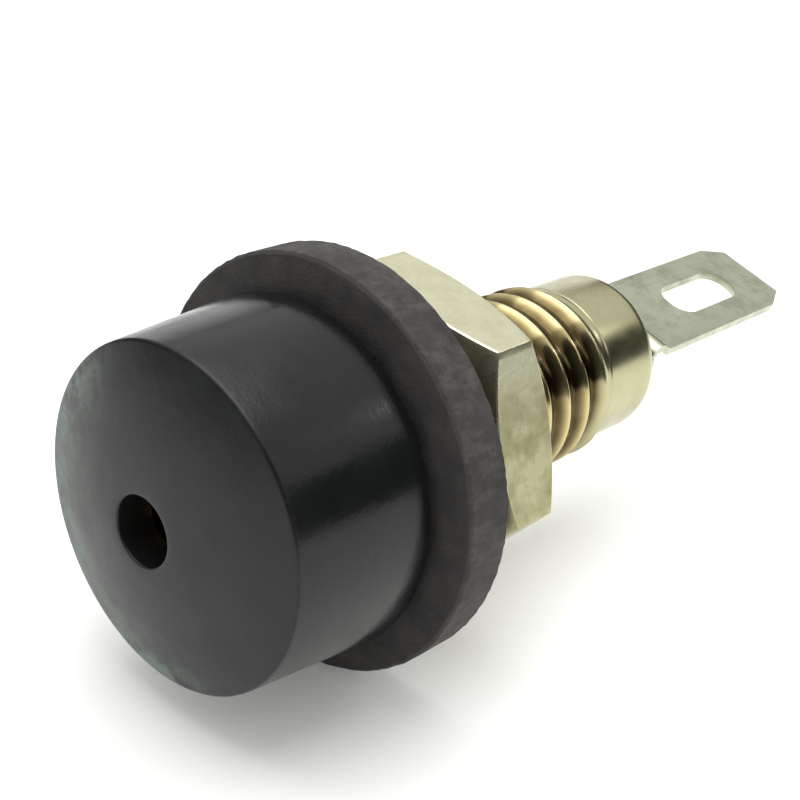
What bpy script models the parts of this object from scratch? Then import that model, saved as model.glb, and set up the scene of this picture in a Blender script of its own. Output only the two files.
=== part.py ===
"""Panel-mount cartridge fuse holder for a 5 x 20 mm glass fuse.

World frame: the barrel axis is Y, the cap faces -Y and the solder lug points +Y, +Z is up.
The origin is on the axis, in the plane where the rubber washer seats on the panel.
All driving dimensions are in millimetres and the meshes are built in metres.
"""
import math

import bmesh
import bpy
from mathutils import Matrix, Vector

MM = 0.001
FIT_GAP = 0.3
TURN_SEGMENTS = 48
BORE_SEGMENTS = 32
THREAD_SEGMENTS = 32

# Glass fuse: the holder is sized from it outwards.
FUSE_FRONT_Y = -8.9
FUSE_LENGTH = 20.0
FERRULE_R = 2.6
FERRULE_WALL = 0.25
FERRULE_LENGTH = 5.6
FERRULE_END_WALL = 0.35
GLASS_R = FERRULE_R - 0.4
GLASS_BORE_R = GLASS_R - 0.5
WIRE_R = 0.12
SOLDER_R = GLASS_BORE_R - 0.4
SOLDER_HEIGHT = 0.7
FUSE_REAR_Y = FUSE_FRONT_Y + FUSE_LENGTH

# Insulating sleeve that lines the barrel, then the barrel's bore.
SLEEVE_INNER_R = FERRULE_R + 0.45
SLEEVE_OUTER_R = SLEEVE_INNER_R + 0.45
SLEEVE_FRONT_Y = -5.3
BARREL_BORE_R = SLEEVE_OUTER_R + 0.35
BARREL_WALL = 0.49

# Thread shared by the barrel, the cap insert and the nut: 3/8 inch, 16 turns per inch, rolled.
THREAD_DEPTH = 0.42
THREAD_PITCH = 1.5875
THREAD_ROWS_PER_TURN = 6
THREAD_CLEARANCE = 0.25
THREAD_R = BARREL_BORE_R + BARREL_WALL + THREAD_DEPTH

# Insulated terminal at the rear: rivet, bush and washer, behind the spring.
RIVET_FRONT_Y = FUSE_REAR_Y + 6.1
RIVET_HEAD_R = 2.2
RIVET_HEAD_THICK = 0.4
RIVET_SHANK_R = 0.7
RIVET_OUTER_HEAD_R = 1.05
RIVET_OUTER_HEAD_THICK = 0.5
BUSH_R = BARREL_BORE_R - 0.35
BUSH_FLANGE_THICK = 0.7
BUSH_SPIGOT_R = 1.6
BUSH_BORE_R = 1.0
INSULATOR_R = 3.3
INSULATOR_THICK = 0.64
SLEEVE_REAR_Y = RIVET_FRONT_Y - 0.2

# Barrel shell.
BARREL_FRONT_Y = -8.7
FLANGE_R = THREAD_R + 1.44
FLANGE_FRONT_Y = -4.3
FLANGE_REAR_Y = -2.8
END_WALL = 1.0
END_HOLE_R = BUSH_SPIGOT_R + 0.35
TAIL_R = THREAD_R - 0.39
TAIL_REAR_Y = RIVET_FRONT_Y + RIVET_HEAD_THICK + BUSH_FLANGE_THICK + 2 * FIT_GAP + END_WALL + 0.01
TAIL_EDGE = 0.55
TAIL_LENGTH = 4.3
THREAD_END_Y = TAIL_REAR_Y - TAIL_LENGTH

# Contact clip in the cap, which grips the front ferrule.
CLIP_DISC_THICK = 0.4
CLIP_INNER_R = FERRULE_R + 0.25
CLIP_OUTER_R = CLIP_INNER_R + 0.3
CLIP_END_Y = -5.9
CLIP_SLOT_WIDTH = 1.0
CLIP_SLOT_START_Y = -8.5

# Brass insert moulded in the cap.
INSERT_BORE_R = THREAD_R + THREAD_CLEARANCE
INSERT_R = INSERT_BORE_R + 0.74
INSERT_THREAD_DEPTH = THREAD_DEPTH * 0.8
INSERT_FRONT_Y = FUSE_FRONT_Y - FIT_GAP - CLIP_DISC_THICK
INSERT_THREAD_Y = INSERT_FRONT_Y + 1.0
INSERT_REAR_Y = -5.05
CLIP_DISC_R = INSERT_BORE_R - 0.31

# Cap, along the axis from the dome to its rear rim.
CAP_FACE_R = 7.8
CAP_REAR_R = CAP_FACE_R * 1.069
CAP_DOME_HEIGHT = 1.47
CAP_FACE_Y = -10.35
CAP_SHOULDER_Y = -4.0
CAP_REAR_Y = -2.8
CAP_REAR_EDGE = 0.85
CAP_FACE_EDGE = 0.3
PROBE_HOLE_R = 1.58
CAP_BORE_R = INSERT_R + FIT_GAP
CAP_CEILING_Y = INSERT_FRONT_Y - FIT_GAP
CAP_SKIRT_R = FLANGE_R + 0.35
CAP_SKIRT_Y = -4.75

# Rubber washer, lock washer and nut.
WASHER_R = 9.94
WASHER_BORE_R = THREAD_R + 0.34
WASHER_THICK = 2.5
WASHER_EDGE = 0.2
LOCK_FRONT_Y = 2.05
LOCK_THICK = 0.5
LOCK_BORE_R = THREAD_R + FIT_GAP
LOCK_ROOT_R = LOCK_BORE_R + 1.04
LOCK_TOOTH_R = LOCK_ROOT_R + 0.8
LOCK_TEETH = 12
NUT_FRONT_Y = LOCK_FRONT_Y + LOCK_THICK + FIT_GAP
NUT_THICK = 3.8
NUT_ACROSS_FLATS = 14.29
NUT_CHAMFER_ANGLE = 30.0
NUT_MOUTH = 0.2
NUT_TURN = 42.6

# Spring-loaded rear contact.
PLUNGER_R = FERRULE_R + 0.15
PLUNGER_THICK = 0.5
PLUNGER_RIM = 0.35
STEM_R = 0.9
STEM_LENGTH = 1.7
SPRING_COIL_R = 1.75
SPRING_WIRE_R = 0.28
SPRING_TURNS = 5.5
SPRING_STEPS_PER_TURN = 20
SPRING_SIDES = 8

# Solder lug: a round foot under the rivet and a flat tag bent out along the axis, which steps
# down towards the axis behind the rivet.
LUG_FOOT_R = 3.1
LUG_THICK = 0.5
LUG_HOLE_R = 1.0
LUG_TURN = 17.5
TAG_HALF_WIDTH = 2.92
TAG_TOP_Z = 1.35
TAG_STEP = 0.5
TAG_STEP_START = 0.15
TAG_STEP_LENGTH = 0.85
TAG_BEND_R = 0.35
TAG_REACH = 16.39
TAG_END_Y = TAIL_REAR_Y + TAG_REACH
TAG_CHAMFER_LENGTH = 1.7
TAG_CHAMFER_WIDTH = 0.8
TAG_SLOT_CENTRE_Y = TAIL_REAR_Y + TAG_REACH * 0.63
TAG_SLOT_LENGTH = 6.4
TAG_SLOT_WIDTH = 2.5
TAG_SLOT_CORNER = 0.9

SHARP_ANGLE = math.radians(35.0)


def clear_scene():
    for obj in list(bpy.data.objects):
        bpy.data.objects.remove(obj, do_unlink=True)


def material(name, colour, roughness, metallic=0.0, alpha=1.0):
    mat = bpy.data.materials.new(name)
    mat.use_nodes = True
    shader = mat.node_tree.nodes["Principled BSDF"]
    shader.inputs["Base Color"].default_value = (*colour, 1.0)
    shader.inputs["Roughness"].default_value = roughness
    shader.inputs["Metallic"].default_value = metallic
    shader.inputs["Alpha"].default_value = alpha
    return mat


def place(bm, name, origin_y, mat):
    """Turn a bmesh in world millimetres into an object whose origin is on the axis."""
    bmesh.ops.recalc_face_normals(bm, faces=bm.faces[:])
    bmesh.ops.translate(bm, verts=bm.verts[:], vec=(0.0, -origin_y, 0.0))
    bmesh.ops.scale(bm, verts=bm.verts[:], vec=(MM, MM, MM))
    mesh = bpy.data.meshes.new(name)
    bm.to_mesh(mesh)
    bm.free()
    mesh.shade_smooth()
    mesh.set_sharp_from_angle(angle=SHARP_ANGLE)
    obj = bpy.data.objects.new(name, mesh)
    obj.location = (0.0, origin_y * MM, 0.0)
    obj.data.materials.append(mat)
    bpy.context.scene.collection.objects.link(obj)
    return obj


def thread_wave(y, theta):
    """Depth of the right-hand thread below its crest, from 0 to 1."""
    phase = y / THREAD_PITCH - theta / math.tau
    return 0.5 - 0.5 * math.cos(math.tau * phase)


def turned_bmesh(rows, segments):
    """Solid of revolution about Y from a closed loop of (radius, y, thread depth) rows."""
    bm = bmesh.new()
    rings = []
    for radius, y, depth in rows:
        if radius <= 0.0:
            rings.append([bm.verts.new((0.0, y, 0.0))])
            continue
        ring = []
        for step in range(segments):
            theta = math.tau * step / segments
            here = radius - depth * thread_wave(y, theta)
            ring.append(bm.verts.new((here * math.sin(theta), y, here * math.cos(theta))))
        rings.append(ring)
    for index, ring in enumerate(rings):
        after = rings[(index + 1) % len(rings)]
        if len(ring) == 1 and len(after) == 1:
            continue
        for step in range(segments):
            turn = (step + 1) % segments
            if len(ring) == 1:
                bm.faces.new((ring[0], after[turn], after[step]))
            elif len(after) == 1:
                bm.faces.new((ring[step], ring[turn], after[0]))
            else:
                bm.faces.new((ring[step], ring[turn], after[turn], after[step]))
    return bm


def turned(name, profile, origin_y, mat, segments=TURN_SEGMENTS):
    rows = [(point[0], point[1], 0.0 if len(point) == 2 else point[2]) for point in profile]
    return place(turned_bmesh(rows, segments), name, origin_y, mat)


def thread_rows(crest_r, start_y, end_y, depth=THREAD_DEPTH):
    """Rows of a thread that fades in and out over half a pitch at each end."""
    spacing = THREAD_PITCH / THREAD_ROWS_PER_TURN
    count = max(2, round((end_y - start_y) / spacing))
    rows = []
    for index in range(count + 1):
        y = start_y + (end_y - start_y) * index / count
        fade = min(1.0, (y - start_y) / (THREAD_PITCH / 2), (end_y - y) / (THREAD_PITCH / 2))
        root_r = crest_r - depth
        rows.append((root_r + depth * fade, y, depth * fade))
    return rows


def arc(centre_r, centre_y, radius, start, end, steps):
    """Profile points on an arc, with angles in degrees from +radius towards +y."""
    points = []
    for index in range(steps + 1):
        angle = math.radians(start + (end - start) * index / steps)
        points.append((centre_r + radius * math.cos(angle), centre_y + radius * math.sin(angle)))
    return points


def dome_y(radius):
    return CAP_FACE_Y - CAP_DOME_HEIGHT * (1.0 - (radius / CAP_FACE_R) ** 2)


def prism(outline, thickness_from, thickness_to, plane):
    """Closed prism: plane 'xz' is thick along Y, 'yz' along X and 'xy' along Z."""
    bm = bmesh.new()
    order = {"xz": (0, 2, 1), "yz": (1, 2, 0), "xy": (0, 1, 2)}[plane]
    layers = []
    for level in (thickness_from, thickness_to):
        layer = []
        for u, v in outline:
            point = [0.0, 0.0, 0.0]
            point[order[0]] = u
            point[order[1]] = v
            point[order[2]] = level
            layer.append(bm.verts.new(point))
        layers.append(layer)
    bm.faces.new(layers[0])
    bm.faces.new(layers[1])
    count = len(outline)
    for index in range(count):
        after = (index + 1) % count
        bm.faces.new((layers[0][index], layers[0][after], layers[1][after], layers[1][index]))
    return bm


def cutter(bm, name, owner):
    """Hidden helper solid in the world, kept with the piece that it shapes."""
    obj = place(bm, name, 0.0, owner.data.materials[0])
    obj.display_type = "WIRE"
    obj.hide_render = True
    obj.parent = owner
    obj.matrix_parent_inverse = Matrix.Translation(-owner.location)
    return obj


def boolean(owner, helper, operation):
    mod = owner.modifiers.new(helper.name, "BOOLEAN")
    mod.operation = operation
    mod.solver = "EXACT"
    mod.object = helper


def build_cap_shell(mat):
    """Domed cap with a probe hole, a tapered side and a stepped bore from the rear."""
    face_r = CAP_FACE_R - CAP_FACE_EDGE
    profile = [(PROBE_HOLE_R, CAP_CEILING_Y), (PROBE_HOLE_R, dome_y(PROBE_HOLE_R) + 0.15)]
    dome_steps = 7
    first = PROBE_HOLE_R + 0.15
    for index in range(dome_steps + 1):
        radius = first + (face_r - first) * index / dome_steps
        profile.append((radius, dome_y(radius)))
    edge_y = CAP_FACE_Y + CAP_FACE_EDGE
    profile.append((CAP_FACE_R - CAP_FACE_EDGE * 0.3, CAP_FACE_Y + CAP_FACE_EDGE * 0.1))
    profile.append((CAP_FACE_R, edge_y))
    profile.append((CAP_REAR_R, CAP_SHOULDER_Y))
    edge = CAP_REAR_EDGE
    profile += arc(CAP_REAR_R - edge, CAP_REAR_Y - edge, edge, 10.0, 90.0, 5)
    profile += [
        (CAP_SKIRT_R, CAP_REAR_Y),
        (CAP_SKIRT_R, CAP_SKIRT_Y),
        (CAP_BORE_R, CAP_SKIRT_Y),
        (CAP_BORE_R, CAP_CEILING_Y),
    ]
    return turned("cap_shell", profile, CAP_FACE_Y, mat)


def build_cap_insert(mat):
    """Threaded brass bush fixed in the cap."""
    crest = INSERT_BORE_R + INSERT_THREAD_DEPTH
    rows = [(INSERT_BORE_R, INSERT_FRONT_Y, 0.0)]
    rows += thread_rows(crest, INSERT_THREAD_Y, INSERT_REAR_Y - 0.1, INSERT_THREAD_DEPTH)
    rows += [
        (INSERT_BORE_R, INSERT_REAR_Y, 0.0),
        (INSERT_R, INSERT_REAR_Y, 0.0),
        (INSERT_R, INSERT_FRONT_Y, 0.0),
    ]
    return place(turned_bmesh(rows, THREAD_SEGMENTS), "cap_thread_insert", INSERT_FRONT_Y, mat)


def build_contact_clip(mat):
    """Contact disc with a four-fingered sleeve that grips the fuse."""
    disc_rear = INSERT_FRONT_Y + CLIP_DISC_THICK
    clip = turned(
        "cap_contact_clip",
        [
            (0.0, INSERT_FRONT_Y),
            (CLIP_DISC_R, INSERT_FRONT_Y),
            (CLIP_DISC_R, disc_rear),
            (CLIP_OUTER_R, disc_rear),
            (CLIP_OUTER_R, CLIP_END_Y),
            (CLIP_INNER_R, CLIP_END_Y),
            (CLIP_INNER_R, disc_rear),
            (0.0, disc_rear),
        ],
        INSERT_FRONT_Y,
        mat,
        BORE_SEGMENTS,
    )
    half = CLIP_SLOT_WIDTH / 2
    reach = CLIP_OUTER_R + 1.0
    for index, axis in enumerate(((half, reach), (reach, half))):
        wide, tall = axis
        outline = [(-wide, -tall), (wide, -tall), (wide, tall), (-wide, tall)]
        slot = prism(outline, CLIP_SLOT_START_Y, CLIP_END_Y + 1.0, "xz")
        boolean(clip, cutter(slot, f"clip_slot_cutter_{index + 1}", clip), "DIFFERENCE")
    return clip


def build_fuse(glass, cap_metal, wire_metal, solder):
    """Glass tube, two end ferrules, the fusible wire and its two solder joints."""
    inner_r = FERRULE_R - FERRULE_WALL
    ends = (("fuse_front_ferrule", FUSE_FRONT_Y, 1.0), ("fuse_rear_ferrule", FUSE_REAR_Y, -1.0))
    for name, end_y, way in ends:
        profile = [
            (0.0, end_y),
            (FERRULE_R - 0.25, end_y),
            (FERRULE_R, end_y + way * 0.25),
            (FERRULE_R, end_y + way * FERRULE_LENGTH),
            (inner_r, end_y + way * FERRULE_LENGTH),
            (inner_r, end_y + way * FERRULE_END_WALL),
            (0.0, end_y + way * FERRULE_END_WALL),
        ]
        turned(name, profile, end_y, cap_metal, BORE_SEGMENTS)
    glass_front = FUSE_FRONT_Y + FERRULE_END_WALL + FIT_GAP
    glass_rear = FUSE_REAR_Y - FERRULE_END_WALL - FIT_GAP
    turned(
        "fuse_glass_tube",
        [
            (GLASS_BORE_R, glass_front),
            (GLASS_R, glass_front),
            (GLASS_R, glass_rear),
            (GLASS_BORE_R, glass_rear),
        ],
        glass_front,
        glass,
        BORE_SEGMENTS,
    )
    ends = (("fuse_front_solder", glass_front, 1.0), ("fuse_rear_solder", glass_rear, -1.0))
    for name, end_y, way in ends:
        profile = [
            (0.0, end_y),
            (SOLDER_R, end_y),
            (SOLDER_R * 0.8, end_y + way * SOLDER_HEIGHT * 0.55),
            (SOLDER_R * 0.35, end_y + way * SOLDER_HEIGHT * 0.9),
            (0.0, end_y + way * SOLDER_HEIGHT),
        ]
        turned(name, profile, end_y, solder, BORE_SEGMENTS // 2)
    wire_front = glass_front + SOLDER_HEIGHT + 0.1
    wire_rear = glass_rear - SOLDER_HEIGHT - 0.1
    turned(
        "fuse_wire",
        [(0.0, wire_front), (WIRE_R, wire_front), (WIRE_R, wire_rear), (0.0, wire_rear)],
        wire_front,
        wire_metal,
        10,
    )


def build_barrel(mat):
    """Brass shell: threaded neck, clamping flange, long thread and a smooth closed tail."""
    root_r = THREAD_R - THREAD_DEPTH
    rows = [(BARREL_BORE_R, BARREL_FRONT_Y, 0.0), (root_r, BARREL_FRONT_Y, 0.0)]
    rows += thread_rows(THREAD_R, BARREL_FRONT_Y + 0.25, FLANGE_FRONT_Y - 0.3)
    rows += [
        (root_r, FLANGE_FRONT_Y, 0.0),
        (FLANGE_R, FLANGE_FRONT_Y, 0.0),
        (FLANGE_R, FLANGE_REAR_Y, 0.0),
        (root_r, FLANGE_REAR_Y, 0.0),
    ]
    rows += thread_rows(THREAD_R, FLANGE_REAR_Y + 0.3, THREAD_END_Y)
    rows.append((TAIL_R, THREAD_END_Y + 0.25, 0.0))
    edge = TAIL_EDGE
    for radius, y in arc(TAIL_R - edge, TAIL_REAR_Y - edge, edge, 0.0, 90.0, 4):
        rows.append((radius, y, 0.0))
    rows += [
        (END_HOLE_R, TAIL_REAR_Y, 0.0),
        (END_HOLE_R, TAIL_REAR_Y - END_WALL, 0.0),
        (BARREL_BORE_R, TAIL_REAR_Y - END_WALL, 0.0),
    ]
    return place(turned_bmesh(rows, THREAD_SEGMENTS), "barrel_shell", 0.0, mat)


def build_sleeve(mat):
    turned(
        "insulating_sleeve",
        [
            (SLEEVE_INNER_R, SLEEVE_FRONT_Y),
            (SLEEVE_OUTER_R, SLEEVE_FRONT_Y),
            (SLEEVE_OUTER_R, SLEEVE_REAR_Y),
            (SLEEVE_INNER_R, SLEEVE_REAR_Y),
        ],
        SLEEVE_FRONT_Y,
        mat,
        BORE_SEGMENTS,
    )


def build_rubber_washer(mat):
    edge = WASHER_EDGE
    turned(
        "rubber_washer",
        [
            (WASHER_BORE_R, -WASHER_THICK),
            (WASHER_R - edge, -WASHER_THICK),
            (WASHER_R, -WASHER_THICK + edge),
            (WASHER_R, -edge),
            (WASHER_R - edge, 0.0),
            (WASHER_BORE_R, 0.0),
        ],
        0.0,
        mat,
    )


def build_lock_washer(mat):
    """Thin ring with external teeth, hidden between the panel and the nut."""
    bm = bmesh.new()
    steps = LOCK_TEETH * 4
    rear_y = LOCK_FRONT_Y + LOCK_THICK
    rings = []
    for y, outer in ((LOCK_FRONT_Y, False), (LOCK_FRONT_Y, True), (rear_y, True), (rear_y, False)):
        ring = []
        for step in range(steps):
            theta = math.tau * step / steps
            radius = LOCK_BORE_R
            if outer:
                radius = LOCK_TOOTH_R if step % 4 < 2 else LOCK_ROOT_R
            ring.append(bm.verts.new((radius * math.sin(theta), y, radius * math.cos(theta))))
        rings.append(ring)
    for index, ring in enumerate(rings):
        after = rings[(index + 1) % len(rings)]
        for step in range(steps):
            turn = (step + 1) % steps
            bm.faces.new((ring[step], ring[turn], after[turn], after[step]))
    place(bm, "lock_washer", LOCK_FRONT_Y, mat)


def build_nut(mat):
    """Hexagon nut: a chamfered blank with a threaded bore, cut to six flats."""
    corner_r = NUT_ACROSS_FLATS / 2 / math.cos(math.radians(30.0))
    rear_y = NUT_FRONT_Y + NUT_THICK
    blank_r = corner_r + 0.5
    face_r = NUT_ACROSS_FLATS / 2 - 0.1
    drop = (blank_r - face_r) * math.tan(math.radians(NUT_CHAMFER_ANGLE))
    crest_r = THREAD_R + THREAD_CLEARANCE
    mouth_r = crest_r + NUT_MOUTH
    rows = [(mouth_r, NUT_FRONT_Y, 0.0)]
    rows += [
        (crest_r, row[1], row[2])
        for row in thread_rows(crest_r, NUT_FRONT_Y + NUT_MOUTH, rear_y - NUT_MOUTH)
    ]
    rows += [
        (mouth_r, rear_y, 0.0),
        (face_r, rear_y, 0.0),
        (blank_r, rear_y - drop, 0.0),
        (blank_r, NUT_FRONT_Y + drop, 0.0),
        (face_r, NUT_FRONT_Y, 0.0),
    ]
    nut = place(turned_bmesh(rows, THREAD_SEGMENTS), "hex_nut", NUT_FRONT_Y, mat)
    outline = []
    for corner in range(6):
        theta = math.radians(NUT_TURN + 60.0 * corner)
        outline.append((corner_r * math.sin(theta), corner_r * math.cos(theta)))
    helper = cutter(prism(outline, NUT_FRONT_Y - 1.0, rear_y + 1.0, "xz"), "nut_flats_cutter", nut)
    boolean(nut, helper, "INTERSECT")
    return nut


def build_rear_contact(mat, spring_mat):
    """Dished plunger that touches the fuse, and the coil spring behind it."""
    front_y = FUSE_REAR_Y + FIT_GAP
    disc_rear = front_y + PLUNGER_THICK
    turned(
        "rear_contact_plunger",
        [
            (0.0, front_y),
            (PLUNGER_R - PLUNGER_RIM, front_y),
            (PLUNGER_R, front_y + PLUNGER_RIM * 0.5),
            (PLUNGER_R, disc_rear),
            (STEM_R, disc_rear),
            (STEM_R, disc_rear + STEM_LENGTH),
            (0.0, disc_rear + STEM_LENGTH),
        ],
        front_y,
        mat,
        BORE_SEGMENTS,
    )
    start_y = disc_rear + FIT_GAP + SPRING_WIRE_R
    end_y = RIVET_FRONT_Y - FIT_GAP - SPRING_WIRE_R
    bm = bmesh.new()
    steps = round(SPRING_TURNS * SPRING_STEPS_PER_TURN)
    slope = (end_y - start_y) / (math.tau * SPRING_TURNS)
    rings = []
    for index in range(steps + 1):
        theta = math.tau * SPRING_TURNS * index / steps
        outward = Vector((math.sin(theta), 0.0, math.cos(theta)))
        centre = outward * SPRING_COIL_R + Vector((0.0, start_y + slope * theta, 0.0))
        around = Vector((math.cos(theta), 0.0, -math.sin(theta)))
        along = (around * SPRING_COIL_R + Vector((0.0, slope, 0.0))).normalized()
        side = along.cross(outward)
        ring = []
        for corner in range(SPRING_SIDES):
            angle = math.tau * corner / SPRING_SIDES
            reach = outward * math.cos(angle) + side * math.sin(angle)
            ring.append(bm.verts.new(centre + reach * SPRING_WIRE_R))
        rings.append(ring)
    for ring, after in zip(rings, rings[1:]):
        for corner in range(SPRING_SIDES):
            turn = (corner + 1) % SPRING_SIDES
            bm.faces.new((ring[corner], ring[turn], after[turn], after[corner]))
    bm.faces.new(rings[0])
    bm.faces.new(rings[-1])
    place(bm, "rear_contact_spring", start_y, spring_mat)


def build_terminal(fibre, brass):
    """Insulating bush and washer, and the rivet that clinches the lug through them."""
    head_rear = RIVET_FRONT_Y + RIVET_HEAD_THICK
    flange_y = head_rear + FIT_GAP
    spigot_y = flange_y + BUSH_FLANGE_THICK
    spigot_end = TAIL_REAR_Y + FIT_GAP
    turned(
        "rear_insulating_bush",
        [
            (BUSH_BORE_R, flange_y),
            (BUSH_R, flange_y),
            (BUSH_R, spigot_y),
            (BUSH_SPIGOT_R, spigot_y),
            (BUSH_SPIGOT_R, spigot_end),
            (BUSH_BORE_R, spigot_end),
        ],
        flange_y,
        fibre,
        BORE_SEGMENTS,
    )
    washer_y = TAIL_REAR_Y + FIT_GAP
    washer_rear = washer_y + INSULATOR_THICK
    turned(
        "rear_insulating_washer",
        [
            (END_HOLE_R, washer_y),
            (INSULATOR_R, washer_y),
            (INSULATOR_R, washer_rear),
            (END_HOLE_R, washer_rear),
        ],
        washer_y,
        fibre,
        BORE_SEGMENTS,
    )
    foot_rear = washer_rear + FIT_GAP + LUG_THICK
    clinch_y = foot_rear + FIT_GAP
    turned(
        "terminal_rivet",
        [
            (0.0, RIVET_FRONT_Y),
            (RIVET_HEAD_R, RIVET_FRONT_Y),
            (RIVET_HEAD_R, head_rear),
            (RIVET_SHANK_R, head_rear),
            (RIVET_SHANK_R, clinch_y),
            (RIVET_OUTER_HEAD_R, clinch_y),
            (RIVET_OUTER_HEAD_R * 0.8, clinch_y + RIVET_OUTER_HEAD_THICK * 0.8),
            (0.0, clinch_y + RIVET_OUTER_HEAD_THICK),
        ],
        RIVET_FRONT_Y,
        brass,
        BORE_SEGMENTS,
    )


def tag_slot_outline():
    points = []
    half_w = TAG_SLOT_WIDTH / 2 - TAG_SLOT_CORNER
    half_l = TAG_SLOT_LENGTH / 2 - TAG_SLOT_CORNER
    for quadrant, (sx, sy) in enumerate(((1, 1), (-1, 1), (-1, -1), (1, -1))):
        for step in range(5):
            angle = math.radians(90.0 * quadrant + 22.5 * step)
            x = sx * half_w + TAG_SLOT_CORNER * math.cos(angle)
            y = TAG_SLOT_CENTRE_Y + sy * half_l + TAG_SLOT_CORNER * math.sin(angle)
            points.append((x, y))
    return points


def build_lug(mat):
    """Solder lug: the tag is cut from a bent strip and joined to the round foot."""
    foot_front = TAIL_REAR_Y + 2 * FIT_GAP + INSULATOR_THICK
    foot_rear = foot_front + LUG_THICK
    bend_y = foot_rear + TAG_BEND_R
    bend_z = TAG_TOP_Z + TAG_STEP - LUG_THICK - TAG_BEND_R
    step_front = bend_y + TAG_STEP_START
    step_rear = step_front + TAG_STEP_LENGTH
    strip = [(foot_front, bend_z - 0.2)]
    for step in range(6):
        angle = math.radians(180.0 - 18.0 * step)
        outer = TAG_BEND_R + LUG_THICK
        strip.append((bend_y + outer * math.cos(angle), bend_z + outer * math.sin(angle)))
    strip += [(step_front, TAG_TOP_Z + TAG_STEP), (step_rear, TAG_TOP_Z)]
    strip += [(TAG_END_Y, TAG_TOP_Z), (TAG_END_Y, TAG_TOP_Z - LUG_THICK)]
    strip += [(step_rear, TAG_TOP_Z - LUG_THICK), (step_front, TAG_TOP_Z + TAG_STEP - LUG_THICK)]
    for step in range(6):
        angle = math.radians(90.0 + 18.0 * step)
        strip.append((bend_y + TAG_BEND_R * math.cos(angle), bend_z + TAG_BEND_R * math.sin(angle)))
    strip.append((foot_rear, bend_z - 0.2))
    lug = place(prism(strip, -TAG_HALF_WIDTH, TAG_HALF_WIDTH, "yz"), "solder_lug", foot_front, mat)

    foot = []
    start = math.asin(bend_z / LUG_FOOT_R)
    steps = 30
    for step in range(steps + 1):
        angle = start - (math.pi + 2 * start) * step / steps
        foot.append((LUG_FOOT_R * math.cos(angle), LUG_FOOT_R * math.sin(angle)))
    boolean(lug, cutter(prism(foot, foot_front, foot_rear, "xz"), "lug_foot_blank", lug), "UNION")

    hole = []
    for step in range(16):
        angle = math.tau * step / 16
        hole.append((LUG_HOLE_R * math.cos(angle), LUG_HOLE_R * math.sin(angle)))
    drill = prism(hole, foot_front - 1.0, foot_rear + 0.5, "xz")
    boolean(lug, cutter(drill, "lug_rivet_cutter", lug), "DIFFERENCE")
    slot = prism(tag_slot_outline(), TAG_TOP_Z - LUG_THICK - 1.0, TAG_TOP_Z + 1.0, "xy")
    boolean(lug, cutter(slot, "lug_slot_cutter", lug), "DIFFERENCE")
    for index, side in enumerate((1.0, -1.0)):
        outline = [
            (side * TAG_HALF_WIDTH, TAG_END_Y - TAG_CHAMFER_LENGTH),
            (side * (TAG_HALF_WIDTH + 1.0), TAG_END_Y - TAG_CHAMFER_LENGTH),
            (side * (TAG_HALF_WIDTH + 1.0), TAG_END_Y + 1.0),
            (side * (TAG_HALF_WIDTH - TAG_CHAMFER_WIDTH - 0.2), TAG_END_Y + 0.425),
        ]
        block = prism(outline, TAG_TOP_Z - LUG_THICK - 1.0, TAG_TOP_Z + 1.0, "xy")
        boolean(lug, cutter(block, f"lug_corner_cutter_{index + 1}", lug), "DIFFERENCE")
    lug.rotation_euler = (0.0, math.radians(LUG_TURN), 0.0)
    return lug


def main():
    clear_scene()
    phenolic = material("cap_black_phenolic", (0.032, 0.036, 0.036), 0.38)
    rubber = material("washer_black_rubber", (0.026, 0.024, 0.024), 0.78)
    shell_brass = material("barrel_brass", (0.55, 0.46, 0.23), 0.26, 1.0)
    nut_brass = material("nut_plated_brass", (0.62, 0.61, 0.42), 0.42, 1.0)
    lug_tin = material("lug_tinned_brass", (0.46, 0.49, 0.40), 0.45, 1.0)
    lock_steel = material("lock_washer_steel", (0.50, 0.50, 0.48), 0.35, 1.0)
    insert_brass = material("insert_brass", (0.60, 0.48, 0.24), 0.32, 1.0)
    clip_brass = material("clip_phosphor_bronze", (0.58, 0.42, 0.24), 0.3, 1.0)
    sleeve_fibre = material("sleeve_fibre", (0.30, 0.20, 0.12), 0.7)
    bush_fibre = material("bush_fibre", (0.24, 0.10, 0.06), 0.7)
    ferrule_nickel = material("ferrule_nickel", (0.62, 0.61, 0.57), 0.22, 1.0)
    fuse_glass = material("fuse_glass", (0.90, 0.94, 0.92), 0.05, 0.0, 0.35)
    fuse_element = material("fuse_element", (0.66, 0.66, 0.64), 0.3, 1.0)
    solder = material("solder", (0.52, 0.52, 0.50), 0.4, 1.0)
    plunger_brass = material("plunger_brass", (0.60, 0.50, 0.27), 0.28, 1.0)
    spring_steel = material("spring_steel", (0.46, 0.46, 0.45), 0.3, 1.0)
    rivet_brass = material("rivet_brass", (0.56, 0.48, 0.27), 0.34, 1.0)

    build_cap_shell(phenolic)
    build_cap_insert(insert_brass)
    build_contact_clip(clip_brass)
    build_fuse(fuse_glass, ferrule_nickel, fuse_element, solder)
    build_barrel(shell_brass)
    build_sleeve(sleeve_fibre)
    build_rubber_washer(rubber)
    build_lock_washer(lock_steel)
    build_nut(nut_brass)
    build_rear_contact(plunger_brass, spring_steel)
    build_terminal(bush_fibre, rivet_brass)
    build_lug(lug_tin)


if __name__ == "__main__":
    main()
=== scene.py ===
"""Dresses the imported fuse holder: finer meshes, procedural finishes, studio and camera.

The barrel axis is Y, the cap faces -Y and the solder lug points +Y. Sizes in the
dataclasses are in millimetres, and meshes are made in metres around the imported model.
"""

import logging
import math
from contextlib import contextmanager
from dataclasses import dataclass, field
from enum import Enum
from functools import partial
from typing import Any, Callable, Iterator, Sequence

import bpy
import numpy as np
from mathutils import Matrix, Vector, noise

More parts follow.
